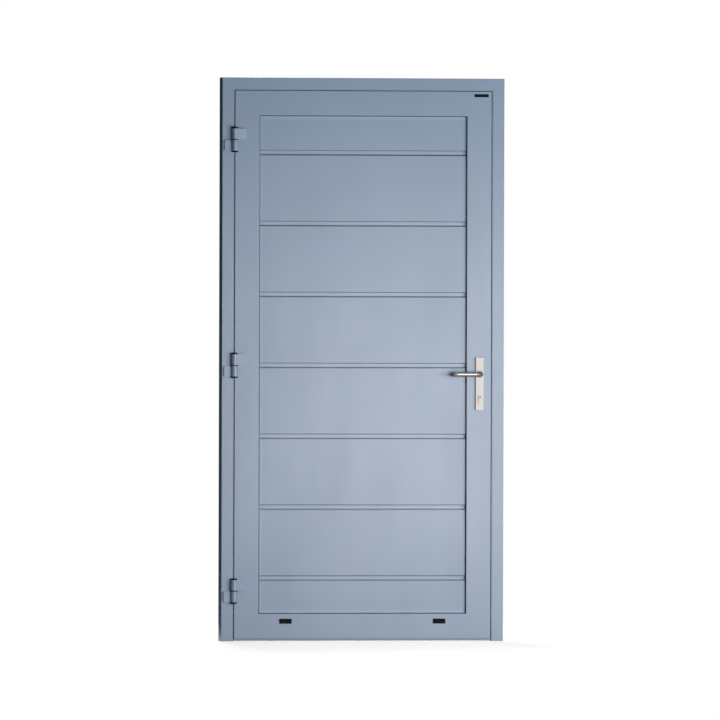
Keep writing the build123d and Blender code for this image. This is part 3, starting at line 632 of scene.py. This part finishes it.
class DOOR_OT_screws(bpy.types.Operator):
    """Countersunk screws in the inner plate, the lock's forend and the strike plate"""
    bl_idname = "door.screws"
    bl_label = "Screws"

    def screw(self, bm, place, outwards, radius, lobes):
        """One flush head with a lobed driver recess."""
        rise, edge_radius, sink = 0.35 * MM, 0.25 * MM, 0.3 * MM
        rim_share, swell_share = 0.42, 0.18
        steps = 4 * lobes
        top = pull_face(bm, disc(bm, steps, radius), rise)
        round_edges(bm, list(top.edges), edge_radius, segments=2)
        top = max(
            (face for face in bm.faces if len(face.verts) == steps),
            key=lambda face: face.calc_center_median().z)
        bmesh.ops.inset_region(bm, faces=[top], thickness=radius * rim_share)
        for vert in top.verts:
            angle = math.atan2(vert.co.y, vert.co.x)
            swell = 1 + swell_share * math.cos(lobes * angle)
            vert.co.x, vert.co.y = vert.co.x * swell, vert.co.y * swell
        pull_face(bm, top, -sink)
        bmesh.ops.delete(bm, geom=[top], context="FACES_ONLY")
        bmesh.ops.transform(bm, matrix=facing_matrix(place, outwards), verts=bm.verts)

    def execute(self, context):
        finishes, fittings, _ = settings()
        steel = plated_steel("screw_steel", finishes.zinc, roughness=0.28)
        plate_low, plate_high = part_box("inner_plate")
        lock_low, lock_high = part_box("mortise_lock")
        strike_low, strike_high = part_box("strike_plate")
        inset = fittings.screw_inset
        groups = (
            ("plate_screw", "leaf", plate_high.y, (0, 1, 0), plate_low, plate_high),
            ("forend_screw", "leaf", lock_high.x, (1, 0, 0), lock_low, lock_high),
            ("strike_screw", "frame", strike_low.x, (-1, 0, 0), strike_low, strike_high),
        )
        for name, body, level, outwards, low, high in groups:
            middle = (low + high) / 2
            for number, z in enumerate((low.z + inset, high.z - inset), 1):
                place = Vector((middle.x, level, z)) if outwards[1] else Vector((level, middle.y, z))
                bm = bmesh.new()
                self.screw(bm, place, outwards, fittings.screw_radius, fittings.screw_lobes)
                new_piece(f"{name}_{number}", bm, body, steel)
        return {"FINISHED"}


class DOOR_OT_key_plugs(bpy.types.Operator):
    """Turning plug with its key slot, on both faces of the key cylinder, and a black plate of painted
    shade in the slot
    """
    bl_idname = "door.key_plugs"
    bl_label = "Key plugs"

    def plug(self, bm, radius, width, height, lift):
        """A low disc with a rounded rim and a slot sunk into its face."""
        edge_radius, slot_floor = 0.3 * MM, 0.2 * MM
        top = pull_face(bm, disc(bm, 48, radius), lift)
        round_edges(bm, list(top.edges), edge_radius, segments=3)
        for place, normal in (
                ((0, height / 2, 0), (0, 1, 0)), ((0, -height / 2, 0), (0, 1, 0)),
                ((width / 2, 0, 0), (1, 0, 0)), ((-width / 2, 0, 0), (1, 0, 0))):
            faces = [face for face in bm.faces if face.calc_center_median().z > lift - TINY]
            parts = {part for face in faces for part in (face, *face.edges, *face.verts)}
            bmesh.ops.bisect_plane(bm, geom=list(parts), plane_co=place, plane_no=normal)

        def in_slot(middle):
            return middle.z > lift - TINY and abs(middle.x) < width / 2 and abs(middle.y) < height / 2
        slot = [face for face in bm.faces if in_slot(face.calc_center_median())]
        sunk = bmesh.ops.extrude_face_region(bm, geom=slot)
        floor = [part for part in sunk["geom"] if isinstance(part, bmesh.types.BMVert)]
        bmesh.ops.translate(bm, verts=floor, vec=(0, 0, slot_floor - lift))
        bmesh.ops.delete(bm, geom=slot, context="FACES_ONLY")

    def slot_shade(self, bm, width, height):
        """Painted shade in the slot: a thin black plate with rounded corners, just above the slot's floor,
        standing for the shade in the keyway.
        """
        play, thickness, corner_radius, level = 0.1 * MM, 0.15 * MM, 0.6 * MM, 0.3 * MM
        block(bm, (0, 0, level), (width - play, height - play, thickness))
        upright = [edge for edge in bm.edges if abs(edge.verts[0].co.z - edge.verts[1].co.z) > TINY]
        round_edges(bm, upright, corner_radius, segments=4)

    def execute(self, context):
        finishes, fittings, _ = settings()
        nickel = brushed_metal(
            "plug_nickel", scaled(finishes.nickel, PLUG_TONE), roughness=0.44,
            stretch=(1400, 1400, 60), metallic=0.25, contrast=0.05)
        dark = moulded_plastic("key_slot_painted_shade", finishes.plastic, roughness=0.6)
        width, height = fittings.slot_width, fittings.slot_height
        low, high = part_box("key_cylinder")
        middle_x = (low.x + high.x) / 2
        middle_z = high.z - (high.x - low.x) / 2
        for side, level, outwards in (("outer", low.y, (0, -1, 0)), ("inner", high.y, (0, 1, 0))):
            turn = facing_matrix(Vector((middle_x, level, middle_z)), outwards)
            bm = bmesh.new()
            self.plug(bm, fittings.plug_radius, width, height, fittings.plug_lift)
            bmesh.ops.transform(bm, matrix=turn, verts=bm.verts)
            new_piece(f"{side}_plug", bm, "leaf", nickel)
            bm = bmesh.new()
            # Painted shade: a black plate in the slot stands for the shade in the keyway
            self.slot_shade(bm, width, height)
            bmesh.ops.transform(bm, matrix=turn, verts=bm.verts)
            new_piece(f"{side}_key_slot", bm, "leaf", dark)
        return {"FINISHED"}


class DOOR_OT_studio(bpy.types.Operator):
    """Camera, lamps, room light and a plain floor that keeps the shadow"""
    bl_idname = "door.studio"
    bl_label = "Studio"

    def lamp(self, name, place, target, size, power, tint=(1, 1, 1)):
        light = bpy.data.lights.new(name, "AREA")
        light.color = tint
        light.shape = "RECTANGLE"
        light.size, light.size_y = size
        light.energy = power
        lamp = bpy.data.objects.new(name, light)
        lamp.location = place
        lamp.rotation_euler = (Vector(target) - Vector(place)).to_track_quat("-Z", "Y").to_euler()
        lamp.visible_camera = False
        bpy.context.scene.collection.objects.link(lamp)

    def seen(self, start):
        """1 for rays from the camera, a mirror or glass."""
        rays = "ShaderNodeLightPath"
        camera = start.node(rays, out="Is Camera Ray")
        glossy = start.node(rays, out="Is Glossy Ray")
        glass = start.node(rays, out="Is Transmission Ray")
        return start.math("MAXIMUM", start.math("MAXIMUM", camera, glossy), glass)

    def room(self, studio):
        """White to look at, dim as a light, and darkest on the hinge side."""
        world = bpy.data.worlds.new("room")
        bpy.context.scene.world = world
        world.use_nodes = True
        world.node_tree.nodes.clear()
        start = Sock(world.node_tree)
        way = along(start, start.node("ShaderNodeTexCoord", out="Generated"), "X")
        level = smooth_step(start, way, low=-0.5, high=0.6) * studio.ambient + studio.least_ambient
        background, colour = "ShaderNodeBackground", (1, 1, 1, 1)
        white = start.node(background, inputs={"Color": colour, "Strength": 1})
        dim = start.node(background, inputs={"Color": colour, "Strength": level})
        both = start.node("ShaderNodeMixShader", inputs={0: self.seen(start), 1: dim, 2: white})
        start.node("ShaderNodeOutputWorld", inputs={"Surface": both})

    def floor(self, studio):
        """A wide floor that fades to white away from the door."""
        material, start = fresh_material("floor")
        place = object_place(start)
        reach = start.node("ShaderNodeVectorMath", {"operation": "LENGTH"}, {0: place}, out="Value")
        far = smooth_step(start, reach, studio.fade_start, studio.fade_end)
        emission, colour = "ShaderNodeEmission", (1, 1, 1, 1)
        plain = start.node("ShaderNodeBsdfDiffuse", inputs={"Color": (*studio.floor, 1)})
        glow = start.node(emission, inputs={"Color": colour, "Strength": studio.floor_glow})
        white = start.node(emission, inputs={"Color": colour, "Strength": 1})
        near = start.node("ShaderNodeAddShader", inputs={0: plain, 1: glow})
        shown = start.node("ShaderNodeMixShader", inputs={0: far, 1: near, 2: white})
        both = start.node("ShaderNodeMixShader", inputs={0: self.seen(start), 1: plain, 2: shown})
        start.node("ShaderNodeOutputMaterial", inputs={"Surface": both})
        bm = bmesh.new()
        bmesh.ops.create_grid(bm, x_segments=8, y_segments=8, size=FLOOR_SIZE)
        bmesh.ops.translate(bm, verts=bm.verts, vec=(0, 0, -FLOOR_DROP))
        floor = mesh_object("floor", bm, material)

    def dark_card(self):
        """A black card that stands around the hinge side, seen only in the gloss of that side."""
        near, far, foot, top = 0.9, 3.2, 2 * MM, 3.5
        first_angle, sweep = math.radians(97), math.radians(103)
        material, start = fresh_material("dark_card")
        black = start.node("ShaderNodeBsdfDiffuse", inputs={"Color": (0.004, 0.004, 0.005, 1)})
        start.node("ShaderNodeOutputMaterial", inputs={"Surface": black})
        bm = bmesh.new()
        corners = ((near, foot), (far, foot), (far, top))
        verts = [bm.verts.new((reach, 0, level)) for reach, level in corners]
        edges = [bm.edges.new(pair) for pair in zip(verts, verts[1:])]
        bmesh.ops.spin(bm, geom=verts + edges, axis=(0, 0, 1), cent=(0, 0, 0), steps=16, angle=sweep)
        bmesh.ops.rotate(bm, verts=bm.verts, matrix=Matrix.Rotation(first_angle, 3, "Z"))
        card = mesh_object("dark_card", bm, material)
        card.visible_camera = False
        card.visible_shadow = False
        card.visible_diffuse = False

    def camera(self, studio):
        data = bpy.data.cameras.new("camera")
        data.lens = studio.lens
        data.sensor_width = SENSOR_WIDTH
        data.clip_end = CLIP_END
        camera = bpy.data.objects.new("camera", data)
        away = Vector((
            -math.sin(studio.turn) * math.cos(studio.rise),
            -math.cos(studio.turn) * math.cos(studio.rise),
            math.sin(studio.rise)))
        camera.location = Vector(studio.aim) + away * studio.distance
        level = (-away).to_track_quat("-Z", "Y").to_matrix()
        camera.rotation_euler = (level @ Matrix.Rotation(studio.roll, 3, "Z")).to_euler()
        bpy.context.scene.collection.objects.link(camera)
        bpy.context.scene.camera = camera

    def execute(self, context):
        _, _, studio = settings()
        self.camera(studio)
        self.room(studio)
        self.floor(studio)
        self.dark_card()
        self.lamp(
            "key", studio.key_place, studio.lamp_aim, studio.key_size,
            studio.key_power, studio.key_tint)
        self.lamp(
            "sheen", studio.sheen_place, studio.sheen_aim, studio.sheen_size,
            studio.sheen_power, studio.sheen_tint)
        self.lamp("back", studio.back_place, studio.lamp_aim, studio.back_size, studio.back_power)
        context.scene.view_settings.view_transform = "Standard"
        return {"FINISHED"}


STEPS = (
    DOOR_OT_paint, DOOR_OT_hinges, DOOR_OT_foot, DOOR_OT_handle, DOOR_OT_lock,
    DOOR_OT_corner_plate, DOOR_OT_rebate_trim, DOOR_OT_screws, DOOR_OT_key_plugs, DOOR_OT_studio)


class DOOR_PT_panel(bpy.types.Panel):
    """Lists the steps and what can be changed"""
    bl_idname = "DOOR_PT_panel"
    bl_label = "Utility door"
    bl_space_type = "VIEW_3D"
    bl_region_type = "UI"
    bl_category = "Door"

    def draw(self, context):
        for group in settings():
            box = self.layout.box()
            for name in group.__annotations__:
                box.prop(group, name)
        for step in STEPS:
            self.layout.operator(step.bl_idname)


GROUPS = (("door_finishes", DoorFinishes), ("door_fittings", DoorFittings), ("door_studio", DoorStudio))


def register():
    for _, group in GROUPS:
        bpy.utils.register_class(group)
    for name, group in GROUPS:
        setattr(bpy.types.Scene, name, PointerProperty(type=group))
    for step in (*STEPS, DOOR_PT_panel):
        bpy.utils.register_class(step)


def unregister():
    for step in (DOOR_PT_panel, *reversed(STEPS)):
        bpy.utils.unregister_class(step)
    for name, group in reversed(GROUPS):
        delattr(bpy.types.Scene, name)
        bpy.utils.unregister_class(group)


def main():
    register()
    bpy.ops.door.paint()
    bpy.ops.door.hinges()
    bpy.ops.door.foot()
    bpy.ops.door.handle()
    bpy.ops.door.lock()
    bpy.ops.door.corner_plate()
    bpy.ops.door.rebate_trim()
    bpy.ops.door.screws()
    bpy.ops.door.key_plugs()
    bpy.ops.door.studio()


if __name__ == "__main__":
    main()
